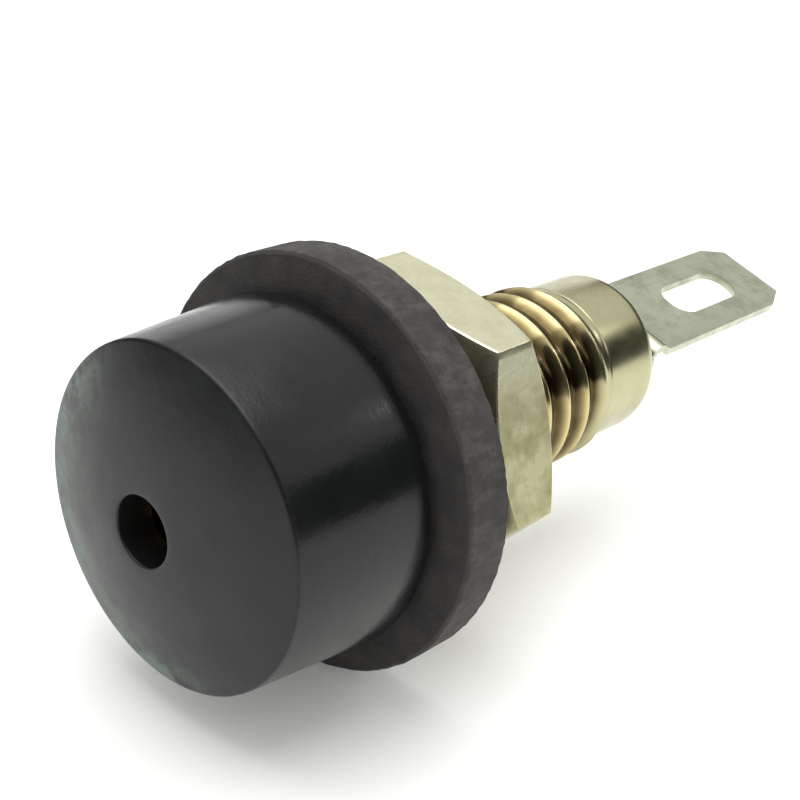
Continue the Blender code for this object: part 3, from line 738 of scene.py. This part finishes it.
@dataclass
class CapAssembly:
    """Cap, threaded insert and contact clip."""

    palette: dict[str, bpy.types.Material]
    thread: Thread
    face_r: float = 7.8
    rear_r: float = 8.338
    face_y: float = -10.35
    dome: float = 1.47
    dome_steps: int = 14
    rear_y: float = measured("cap_shell", HIGH)
    ceiling_y: float = -9.9
    hole_r: float = 1.58
    edge: float = 0.35
    bore_r: float = 6.05
    skirt_r: float = 6.55
    skirt_y: float = -4.75
    insert_front: float = measured("cap_thread_insert", LOW)
    insert_rear: float = measured("cap_thread_insert", HIGH)
    insert_wall: float = 0.74
    thread_gap: float = 0.25
    clip_front: float = measured("cap_contact_clip", LOW)
    clip_end: float = measured("cap_contact_clip", HIGH)
    clip_disc: tuple[float, float] = (4.7, 0.4)
    clip_fingers: tuple[float, float] = (2.85, 3.15)
    saw_cut: float = 1.0
    saw_reach: tuple[float, float] = (-8.5, -4.5)

    def dome_y(self, radius: float) -> float:
        """Return the dome's y at a radius."""
        return self.face_y - self.dome * (1.0 - (radius / self.face_r) ** 2)

    def cap_shell(self) -> bpy.types.Object:
        """Turn the domed cap with its soft rear rim and chamfered probe hole."""
        corners: list[Corner] = [
            (self.hole_r, self.ceiling_y, 0.05),
            (self.hole_r, self.dome_y(self.hole_r) + 0.02, 0.12),
        ]
        for radius in np.linspace(self.hole_r + self.edge, self.face_r - self.edge, self.dome_steps):
            corners.append((float(radius), self.dome_y(float(radius)), 0.0))
        corners += [
            (self.face_r - 0.01, self.face_y - 0.01, 0.2),
            (self.rear_r, self.rear_y, 1.05),
            (self.skirt_r, self.rear_y, 0.1),
            (self.skirt_r, self.skirt_y, 0.08),
            (self.bore_r, self.skirt_y, 0.05),
            (self.bore_r, self.ceiling_y, 0.1),
        ]
        return turn("cap_shell_moulded", rounded(corners, 8), 160)

    def insert(self) -> bpy.types.Object:
        """Turn the threaded brass insert."""
        crest = self.thread.crest_r + self.thread_gap
        outer, front, rear = crest + self.insert_wall, self.insert_front, self.insert_rear
        start, end = front + 1.0, rear - 0.1
        points: list[Point] = [(crest, front)]
        points += [(crest, y) for y in self.thread.stations(start, end)]
        points += [(crest + 0.1, rear), (outer, rear), (outer, front)]
        obj = turn("cap_insert_threaded", points, 112)

        def cut(radius: np.ndarray, y: np.ndarray, angle: np.ndarray) -> Rings:
            """Open the bore between the crests of the inner thread."""
            bore = np.abs(radius - crest) < ON_SURFACE
            depth = self.thread.depth * 0.8 * self.thread.fade(y, start, end)
            rise = depth * (1.0 - self.thread.fall(y, angle))
            return np.where(bore, radius + rise, radius), y

        reshape(obj, cut)
        return obj

    def clip(self) -> bpy.types.Object:
        """Turn the contact clip and saw its four fingers."""
        front, end = self.clip_front, self.clip_end
        disc_r, disc_thick = self.clip_disc
        inner, outer = self.clip_fingers
        disc = front + disc_thick
        corners: list[Corner] = [
            (0.0, front, 0.0),
            (disc_r, front, 0.08),
            (disc_r, disc, 0.08),
            (outer, disc, 0.12),
            (outer, end, 0.1),
            (inner, end, 0.1),
            (inner, disc, 0.05),
            (0.0, disc, 0.0),
        ]
        obj = turn("cap_contact_clip_sawn", rounded(corners), 96)
        saw_from, saw_to = self.saw_reach
        across, middle = 2 * disc_r, (saw_from + saw_to) / 2
        for width, depth in ((self.saw_cut, across), (across, self.saw_cut)):
            saw = block((width, saw_to - saw_from, depth), (0.0, middle, 0.0))
            combine(obj, saw, "DIFFERENCE")
        soften(obj, 0.03)
        return obj

    def build(self) -> None:
        """Make and dress the cap's three pieces."""
        kit = self.palette
        finish_piece(self.cap_shell(), kit["phenolic"], Body.CAP, "cap_shell")
        finish_piece(self.insert(), kit["insert"], Body.CAP, "cap_thread_insert")
        clip = self.clip()
        finish_piece(clip, kit["bronze"], Body.CAP_CONTACT, "cap_contact_clip")


@dataclass
class FuseAssembly:
    """Glass cartridge fuse: tube, two ferrules, wire and solder joints."""

    palette: dict[str, bpy.types.Material]
    front_y: float = measured("fuse_front_ferrule", LOW)
    rear_y: float = measured("fuse_rear_ferrule", HIGH)
    ferrule_r: float = 2.6
    ferrule_wall: float = 0.25
    ferrule_length: float = 5.6
    crimp_from_mouth: float = 1.0
    crimp_half: float = 0.35
    crimp_depth: float = 0.1
    wire_r: float = 0.12
    wire_from_glass: float = 0.8
    glass_r: float = 2.2
    glass_bore: float = 1.7
    end_wall: float = 0.35
    gap: float = 0.3

    def ferrule(self, name: str, end: float, way: float) -> bpy.types.Object:
        """Turn one drawn ferrule with its crimped groove."""
        inner = self.ferrule_r - self.ferrule_wall
        mouth = end + way * self.ferrule_length
        groove = mouth - way * self.crimp_from_mouth
        corners: list[Corner] = [
            (0.0, end + way * 0.04, 0.0),
            (0.9, end + way * 0.04, 0.06),
            (1.1, end, 0.06),
            (self.ferrule_r, end, 0.4),
            (self.ferrule_r, groove - way * self.crimp_half, 0.05),
            (self.ferrule_r - self.crimp_depth, groove, 0.15),
            (self.ferrule_r, groove + way * self.crimp_half, 0.05),
            (self.ferrule_r, mouth, 0.06),
            (inner, mouth, 0.05),
            (inner, end + way * self.end_wall, 0.1),
            (0.0, end + way * self.end_wall, 0.0),
        ]
        return turn(name, rounded(corners), 96)

    def bead(self, name: str, end: float, way: float) -> bpy.types.Object:
        """Turn one solder joint."""
        corners: list[Corner] = [
            (0.0, end, 0.0),
            (1.3, end, 0.08),
            (1.0, end + way * 0.4, 0.3),
            (0.0, end + way * 0.7, 0.0),
        ]
        return turn(name, rounded(corners), 48)

    def build(self) -> None:
        """Make and dress the fuse's pieces."""
        metal = self.palette["nickel"]
        for end_name, end, way in (("front", self.front_y, 1.0), ("rear", self.rear_y, -1.0)):
            ferrule = self.ferrule(f"fuse_{end_name}_ferrule_drawn", end, way)
            finish_piece(ferrule, metal, Body.FUSE, f"fuse_{end_name}_ferrule")
            bead = self.bead(f"fuse_{end_name}_solder_bead", end + way * (self.end_wall + self.gap), way)
            finish_piece(bead, self.palette["solder"], Body.FUSE, f"fuse_{end_name}_solder")
        front = self.front_y + self.end_wall + self.gap
        rear = self.rear_y - self.end_wall - self.gap
        glass: list[Corner] = [
            (self.glass_bore, front, 0.06),
            (self.glass_r, front, 0.06),
            (self.glass_r, rear, 0.06),
            (self.glass_bore, rear, 0.06),
        ]
        tube = turn("fuse_glass_tube_drawn", rounded(glass), 96)
        finish_piece(tube, self.palette["glass"], Body.FUSE, "fuse_glass_tube")
        start, end = front + self.wire_from_glass, rear - self.wire_from_glass
        wire: list[Corner] = [
            (0.0, start, 0.0),
            (self.wire_r, start, 0.03),
            (self.wire_r, end, 0.03),
            (0.0, end, 0.0),
        ]
        strand = turn("fuse_wire_drawn", rounded(wire, 2), 20)
        finish_piece(strand, self.palette["tin_wire"], Body.FUSE, "fuse_wire")


@dataclass
class BarrelAssembly:
    """Threaded shell, its insulation, the rear terminal and the solder lug."""

    palette: dict[str, bpy.types.Material]
    thread: Thread
    bore_r: float = 3.85
    front_y: float = measured("barrel_shell", LOW)
    flange_r: float = 6.2
    flange_front: float = -4.3
    flange_rear: float = -2.8
    thread_end: float = 15.61
    tail_r: float = 4.37
    tail_y: float = 19.91
    end_wall: float = 1.0
    end_hole_r: float = 1.95
    foot_y: float = 21.15
    foot_r: float = 3.1
    rivet_hole_r: float = 1.0
    lug_thick: float = 0.5
    lug_turn: float = 17.5
    tag_half: float = 2.92
    tag_top: float = 1.35
    tag_step: float = 0.5
    tag_step_y: tuple[float, float] = (22.15, 23.0)
    tag_end: float = 36.3
    tag_corner: tuple[float, float] = (0.8, 1.7)
    slot_size: tuple[float, float] = (2.5, 6.4)
    slot_corner: float = 1.15
    slot_share: float = 0.63
    through: float = 3.0
    bend_r: float = 0.35
    bend_steps: int = 10
    foot_overlap: float = 0.4
    spring_seat: float = 16.9
    spring_r: float = 1.75
    spring_wire_r: float = 0.28
    spring_ends: tuple[float, float] = (12.48, 16.62)
    spring_turns: float = 5.5
    spring_steps: int = 36
    spring_pressed: float = 0.7

    def shell(self) -> bpy.types.Object:
        """Turn the shell and roll its thread."""
        crest, root = self.thread.crest_r, self.thread.crest_r - self.thread.depth
        neck = (self.front_y + 0.25, self.flange_front - 0.3)
        body = (self.flange_rear + 0.3, self.thread_end)
        points: list[Point] = [(self.bore_r, self.front_y), (root - 0.06, self.front_y)]
        points.append((root, self.front_y + 0.08))
        points += [(crest, y) for y in self.thread.stations(*neck)]
        flange: list[Corner] = [
            (root, self.flange_front, 0.0),
            (self.flange_r, self.flange_front, 0.15),
            (self.flange_r, self.flange_rear, 0.15),
            (root, self.flange_rear, 0.0),
        ]
        points += rounded(flange, 3)
        points += [(crest, y) for y in self.thread.stations(*body)]
        tail: list[Corner] = [
            (self.tail_r, self.thread_end + 0.12, 0.0),
            (self.tail_r, self.tail_y, 0.85),
            (self.end_hole_r, self.tail_y, 0.06),
            (self.end_hole_r, self.tail_y - self.end_wall, 0.05),
            (self.bore_r, self.tail_y - self.end_wall, 0.3),
        ]
        # the fillets need the bore's corner as their neighbour, so it closes the loop
        tail.append((self.bore_r, self.front_y, 0.0))
        points += rounded(tail, 8)[:-1]
        obj = turn("barrel_shell_rolled", points, 128)

        def roll(radius: np.ndarray, y: np.ndarray, angle: np.ndarray) -> Rings:
            """Press the thread into the crest surface."""
            outer = np.abs(radius - crest) < ON_SURFACE
            on_neck = y < self.flange_front
            fade = np.where(on_neck, self.thread.fade(y, *neck), self.thread.fade(y, *body))
            depth = self.thread.depth * (1.0 - fade * (1.0 - self.thread.fall(y, angle)))
            return np.where(outer, radius - depth, radius), y

        reshape(obj, roll)
        return obj

    def lug(self) -> bpy.types.Object:
        """Bend the strip, join it to its round foot and pierce both."""
        bend_y = self.foot_y + self.lug_thick + self.bend_r
        length = self.tag_end - bend_y
        start_top = self.tag_top + self.tag_step
        bend_z = start_top - self.lug_thick - self.bend_r
        middle = (0.0, bend_y + length / 2, start_top - self.lug_thick / 2)
        obj = block((2 * self.tag_half, length, self.lug_thick), middle)
        obj.name = obj.data.name = "solder_lug_bent"
        self.step_tag(obj)
        pick(obj, "FACE", lambda face: face.normal.y < -0.9)
        centre = (0.0, bend_y * MM, bend_z * MM)
        bpy.ops.mesh.spin(steps=self.bend_steps, angle=-QUARTER_TURN, center=centre, axis=(1, 0, 0))
        into_foot = (0.0, 0.0, -self.foot_overlap * MM)
        bpy.ops.mesh.extrude_region_move(TRANSFORM_OT_translate={"value": into_foot})
        face_outward()
        bpy.ops.object.mode_set(mode="OBJECT")
        combine(obj, self.foot(bend_z), "UNION")
        foot_middle = self.foot_y + self.lug_thick / 2
        drill = rod(self.rivet_hole_r, self.lug_thick + 0.7, foot_middle, 48)
        combine(obj, drill, "DIFFERENCE")
        combine(obj, self.slot_punch(), "DIFFERENCE")
        for side in (1.0, -1.0):
            combine(obj, self.corner_shear(side), "DIFFERENCE")
        soften(obj, 0.07)
        obj.data.transform(Matrix.Rotation(math.radians(self.lug_turn), 4, "Y"))
        return obj

    def step_tag(self, obj: bpy.types.Object) -> None:
        """Step the tag down towards the axis behind the rivet."""
        for y in self.tag_step_y:
            with edit_mode():
                bpy.ops.mesh.bisect(plane_co=(0.0, y * MM, 0.0), plane_no=(0.0, 1.0, 0.0))
        start, end = self.tag_step_y
        for vertex in obj.data.vertices:
            share = (vertex.co.y / MM - start) / (end - start)
            vertex.co.z -= self.tag_step * MM * min(max(share, 0.0), 1.0)

    def foot(self, bend_z: float) -> bpy.types.Object:
        """Cut the round foot level with the start of the bend."""
        obj = rod(self.foot_r, self.lug_thick, self.foot_y + self.lug_thick / 2, 96)
        bpy.ops.object.transform_apply(location=True, rotation=True, scale=True)
        level, up = (0.0, 0.0, bend_z * MM), (0.0, 0.0, 1.0)
        with edit_mode():
            bpy.ops.mesh.bisect(plane_co=level, plane_no=up, clear_outer=True, use_fill=True)
        return obj

    def slot_punch(self) -> bpy.types.Object:
        """Return a punch for the wire slot in the tag."""
        middle_y = self.tail_y + (self.tag_end - self.tail_y) * self.slot_share
        obj = block((*self.slot_size, self.through), (0.0, middle_y, self.tag_top))

        def upright(edge: bpy.types.MeshEdge) -> bool:
            """Say whether an edge stands along Z."""
            ends = [obj.data.vertices[index].co.z for index in edge.vertices]
            return abs(ends[0] - ends[1]) > MM

        pick(obj, "EDGE", upright)
        bpy.ops.mesh.bevel(offset=self.slot_corner * MM, segments=8, affect="EDGES")
        bpy.ops.object.mode_set(mode="OBJECT")
        return obj

    def corner_shear(self, side: float) -> bpy.types.Object:
        """Return a block that shears one end corner off the tag."""
        cut, run = self.tag_corner
        obj = block((2.0, 8.0, self.through), (side, 0.0, 0.0))
        obj.data.transform(Matrix.Rotation(side * math.atan2(cut, run), 4, "Z"))
        middle = (side * (self.tag_half - cut / 2), self.tag_end - run / 2, self.tag_top)
        obj.data.transform(moved_by(middle))
        return obj

    def spring(self) -> bpy.types.Object:
        """Wind the rear contact spring."""
        start, end = self.spring_ends
        deselect_all()
        wire_r = self.spring_wire_r * MM
        bpy.ops.mesh.primitive_circle_add(vertices=14, radius=wire_r, fill_type="NOTHING")
        obj = bpy.context.object
        obj.name = obj.data.name = "rear_contact_spring_wound"
        obj.data.transform(Matrix.Rotation(QUARTER_TURN, 4, "Y"))
        obj.data.transform(Matrix.Translation((0.0, start * MM, self.spring_r * MM)))
        steps = round(self.spring_steps * self.spring_turns)
        apply_modifier(
            obj,
            "SCREW",
            axis="Y",
            angle=TAU * self.spring_turns,
            screw_offset=(end - start) * MM,
            steps=steps,
            render_steps=steps,
            use_smooth_shade=True,
        )
        with edit_mode():
            bpy.ops.mesh.fill_holes(sides=0)
            face_outward()
        bpy.ops.object.shade_smooth_by_angle(angle=SMOOTH_ANGLE)
        return obj

    def turned_parts(self) -> None:
        """Turn and dress the sleeve, bush, washer, rivet and plunger."""
        specs: tuple[tuple[str, str, str, Body, str, list[Corner]], ...] = (
            (
                "insulating_sleeve_wound", "insulating_sleeve", "sleeve", Body.BARREL, "sleeve_fibre",
                [(3.05, -5.3, 0.08), (3.5, -5.3, 0.08), (3.5, 17.0, 0.08), (3.05, 17.0, 0.08)],
            ),
            (
                "rear_insulating_bush_turned", "rear_insulating_bush", "bush", Body.BARREL, "bush_fibre",
                [
                    (1.0, 17.9, 0.05), (3.5, 17.9, 0.08), (3.5, 18.6, 0.08),
                    (1.6, 18.6, 0.05), (1.6, 20.21, 0.06), (1.0, 20.21, 0.05),
                ],
            ),
            (
                "rear_insulating_washer_stamped", "rear_insulating_washer", "bush", Body.BARREL, "bush_fibre",
                [(1.95, 20.21, 0.05), (3.3, 20.21, 0.1), (3.3, 20.85, 0.1), (1.95, 20.85, 0.05)],
            ),
            (
                "terminal_rivet_clinched", "terminal_rivet", "rivet", Body.BARREL, "rivet_brass",
                [
                    (0.0, 17.2, 0.0), (2.2, 17.2, 0.1), (2.2, 17.6, 0.1), (0.7, 17.6, 0.05),
                    (0.7, 21.95, 0.05), (1.05, 21.95, 0.08), (0.84, 22.35, 0.25), (0.0, 22.45, 0.0),
                ],
            ),
            (
                "rear_contact_plunger_turned", "rear_contact_plunger", "contact", Body.REAR_CONTACT,
                "plunger_brass",
                [
                    (0.0, 11.4, 0.0), (2.4, 11.4, 0.15), (2.75, 11.6, 0.1), (2.75, 11.9, 0.06),
                    (0.9, 11.9, 0.15), (0.9, 13.6, 0.15), (0.0, 13.6, 0.0),
                ],
            ),
        )
        for name, node, finish, body, slot, corners in specs:
            finish_piece(turn(name, rounded(corners), 96), self.palette[finish], body, node)

    def build(self) -> None:
        """Make and dress the barrel's pieces."""
        kit = self.palette
        finish_piece(self.shell(), kit["barrel"], Body.BARREL, "barrel_shell")
        self.turned_parts()
        spring = self.spring()
        finish_piece(spring, kit["music_wire"], Body.BARREL, "rear_contact_spring")
        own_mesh(spring)
        finish_piece(self.lug(), kit["lug"], Body.BARREL, "solder_lug")


@dataclass
class ClampAssembly:
    """Rubber washer, lock washer and hexagon nut."""

    palette: dict[str, bpy.types.Material]
    thread: Thread
    nodes: dict[str, bpy.types.Object]
    washer_r: float = measured("rubber_washer", HIGH, X)
    washer_bore: float = 5.1
    washer_front: float = measured("rubber_washer", LOW)
    washer_edge: float = 0.16
    washer_steps: int = 10
    roughness_mm: float = 0.05
    wobbles_per_radius: float = 26.0
    nut_front: float = measured("hex_nut", LOW)
    nut_rear: float = measured("hex_nut", HIGH)
    nut_rows: int = 6
    nut_shoulder: float = 0.6
    thread_gap: float = 0.25
    chamfer: float = math.tan(math.radians(30.0))
    across_flats: float = 14.29
    nut_turn: float = 42.6

    def washer(self) -> bpy.types.Object:
        """Turn the rubber washer and roughen its cut rim."""
        edge, steps = self.washer_edge, self.washer_steps
        rim, front = self.washer_r - self.roughness_mm, self.washer_front
        face = [float(r) for r in np.linspace(self.washer_bore, rim - edge, steps + 1)]
        side = [float(y) for y in np.linspace(front + edge, -edge, steps + 1)]
        points: list[Point] = [(radius, front) for radius in face]
        points += [(rim, y) for y in side]
        points += [(radius, 0.0) for radius in reversed(face)]
        obj = turn("rubber_washer_stamped", points, 240)

        def roughen(radius: np.ndarray, y: np.ndarray, angle: np.ndarray) -> Rings:
            """Wobble the cut rim within its allowance and leave the faces flat."""
            reach = self.wobbles_per_radius
            spots = zip(np.sin(angle) * reach, y * 0.35, np.cos(angle) * reach)
            wobble = np.array([noise.noise(Vector(spot)) for spot in spots])
            on_rim = np.clip((radius - (rim - edge - 0.05)) / edge, 0.0, 1.0)
            return radius + on_rim * wobble * self.roughness_mm, y

        reshape(obj, roughen)
        return obj

    def nut(self) -> bpy.types.Object:
        """Turn the nut's blank, press its six flats and cut its thread."""
        front, rear = self.nut_front, self.nut_rear
        thick, shoulder = rear - front, self.nut_shoulder
        flat_r = self.across_flats / 2
        corner_r = flat_r / math.cos(SIXTH_TURN / 2)
        face_r = flat_r - 0.1
        bore = self.thread.crest_r + self.thread_gap
        start, end = front + 0.2, rear - 0.2
        rows = np.linspace(front + shoulder, rear - shoulder, self.nut_rows + 1)
        points: list[Point] = [(bore + 0.2, front), (face_r, front)]
        points += [(corner_r, float(y)) for y in rows]
        points += [(face_r, rear), (bore + 0.2, rear)]
        points += [(bore, y) for y in reversed(self.thread.stations(start, end))]
        obj = turn("hex_nut_machined", points, 144)
        turned_by = math.radians(self.nut_turn)
        obj.data.transform(Matrix.Rotation(turned_by, 4, "Y"))

        def machine(radius: np.ndarray, y: np.ndarray, angle: np.ndarray) -> Rings:
            """Bring the outer rings to the hexagon and the chamfer cones, and thread the bore."""
            outer = radius > face_r + 0.05
            local = np.mod(angle - turned_by + 1e-6, SIXTH_TURN) - SIXTH_TURN / 2
            hexagon = flat_r / np.cos(local)
            drop = (hexagon - face_r) * self.chamfer
            share = (y - (front + shoulder)) / (thick - 2 * shoulder)
            level = front + drop + share * (thick - 2 * drop)
            inner = np.abs(radius - bore) < ON_SURFACE
            depth = self.thread.depth * self.thread.fade(y, start, end)
            new_r = np.where(inner, radius - depth * self.thread.fall(y, angle), radius)
            return np.where(outer, hexagon, new_r), np.where(outer, level, y)

        reshape(obj, machine)
        soften(obj, 0.06, 42.0)
        return obj

    def build(self) -> None:
        """Make and dress the clamping pieces."""
        kit = self.palette
        finish_piece(self.washer(), kit["rubber"], Body.WASHER, "rubber_washer")
        finish_piece(self.nut(), kit["nut"], Body.NUT, "hex_nut")
        lock = self.nodes["lock_washer"]
        lock.data.materials.clear()
        lock.data.materials.append(kit["steel"])


@dataclass
class Studio:
    """Table, soft lights and camera."""

    palette: dict[str, bpy.types.Material]
    table_z: float
    table_size: float = 6.0
    azimuth: float = 39.68
    elevation: float = 25.08
    roll: float = -5.9
    place: tuple[float, float, float] = (41.19, -45.79, 31.69)
    lens: float = 67.2
    tent: str = "FFFFFC"
    tent_strength: float = 0.95
    card_distance: float = 0.75
    card_rise: float = 26.0
    flag_direction: tuple[float, float, float] = (0.85, -0.5, 0.3)
    flag_distance: float = 0.5
    flag_size: float = 0.7

    def table(self) -> None:
        """Lay the pale table under the lowest point."""
        deselect_all()
        bpy.ops.mesh.primitive_plane_add(size=self.table_size, location=(0.0, 0.0, self.table_z))
        plane = bpy.context.object
        plane.name = "table_top"
        plane.data.materials.append(self.palette["table"])
        plane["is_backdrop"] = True

    def softbox(
        self, name: str, direction: Sequence[float], distance: float, size: Sequence[float], radiance: float
    ) -> None:
        """Hang one rectangular softbox that faces the object.

        Args:
            name: The light's name.
            direction: Where it hangs, seen from the object.
            distance: How far off, in metres.
            size: Its width and height, in metres.
            radiance: How bright its face looks, where white paper in the room is 1.
        """
        data = bpy.data.lights.new(name, "AREA")
        data.shape = "RECTANGLE"
        data.size, data.size_y = size
        data.energy = radiance * math.pi * size[0] * size[1]
        light = bpy.data.objects.new(name, data)
        light.visible_camera = False
        bpy.context.scene.collection.objects.link(light)
        way = Vector(direction).normalized()
        light.location = way * distance
        light.rotation_euler = way.to_track_quat("Z", "Y").to_euler()

    def room(self) -> None:
        """Surround the table with an evenly bright light tent."""
        world = bpy.data.worlds.new("light_tent")
        bpy.context.scene.world = world
        world.use_nodes = True
        background = world.node_tree.nodes["Background"]
        background.inputs["Color"].default_value = linear(self.tent)
        background.inputs["Strength"].default_value = self.tent_strength

    def dress_card(self, card: bpy.types.Object, name: str) -> None:
        """Make a piece a black card that only shows in reflections."""
        card.name = card.data.name = name
        card.data.materials.append(self.palette["card"])
        card.visible_camera = False
        card.visible_diffuse = False
        card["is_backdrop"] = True

    def cards(self) -> None:
        """Stand black cards round the table, lower behind it and higher at the front right."""
        deselect_all()
        height = self.card_distance * math.tan(math.radians(self.card_rise))
        bpy.ops.mesh.primitive_cylinder_add(
            vertices=64,
            radius=self.card_distance,
            depth=height,
            end_fill_type="NOTHING",
            location=(0.0, 0.0, self.table_z + height / 2),
        )
        self.dress_card(bpy.context.object, "black_card_ring")
        deselect_all()
        way = Vector(self.flag_direction).normalized()
        turned = way.to_track_quat("Z", "Y").to_euler()
        place = way * self.flag_distance
        bpy.ops.mesh.primitive_plane_add(size=self.flag_size, location=place, rotation=turned)
        self.dress_card(bpy.context.object, "black_card_front")

    def lights(self) -> None:
        """Hang the softboxes inside the tent."""
        self.room()
        self.cards()
        self.softbox("overhead", (-0.1, 0.0, 1.0), 0.5, (0.5, 0.5), 2.6)
        self.softbox("low_window", (-0.72, 0.68, 0.2), 0.6, (0.4, 0.22), 1.15)
        self.softbox("edge_lamp", (0.444, 0.697, 0.564), 0.6, (0.05, 0.05), 16.0)

    def camera(self) -> None:
        """Place the camera by azimuth, elevation and roll."""
        az, el = math.radians(self.azimuth), math.radians(self.elevation)
        back = Vector((math.sin(az) * math.cos(el), -math.cos(az) * math.cos(el), math.sin(el)))
        level = Vector((0.0, 0.0, 1.0)).cross(back).normalized()
        upright = back.cross(level)
        tilt = math.radians(-self.roll)
        right = level * math.cos(tilt) + upright * math.sin(tilt)
        up = back.cross(right)
        data = bpy.data.cameras.new("camera")
        data.lens = self.lens
        data.sensor_width = 36.0
        data.clip_start = 0.002
        data.dof.use_dof = False
        camera = bpy.data.objects.new("camera", data)
        turned = Matrix((right, up, back)).transposed().to_4x4()
        camera.matrix_world = Matrix.Translation(Vector(self.place) * MM) @ turned
        bpy.context.scene.collection.objects.link(camera)
        bpy.context.scene.camera = camera

    def build(self) -> None:
        """Set the whole studio."""
        self.table()
        self.lights()
        self.camera()
        bpy.context.scene.view_settings.view_transform = "Standard"


def corners_of(bounds: Any) -> list[list[float]]:
    """Return a box as plain lists of numbers."""
    return [[float(c) for c in corner] for corner in bounds]


def main() -> None:
    """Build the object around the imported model, then the studio."""
    logging.basicConfig(level=logging.INFO, format="%(name)s %(message)s")
    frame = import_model()
    cad_box = corners_of(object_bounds())
    finishes = Palette()
    palette = {name: getattr(finishes, name).build() for name in finishes.__dataclass_fields__}
    thread = Thread()
    CapAssembly(palette, thread).build()
    FuseAssembly(palette).build()
    BarrelAssembly(palette, thread).build()
    ClampAssembly(palette, thread, frame["nodes"]).build()
    Studio(palette, cad_box[LOW][2] - TABLE_GAP).build()
    deselect_all()


if __name__ == "__main__":
    main()
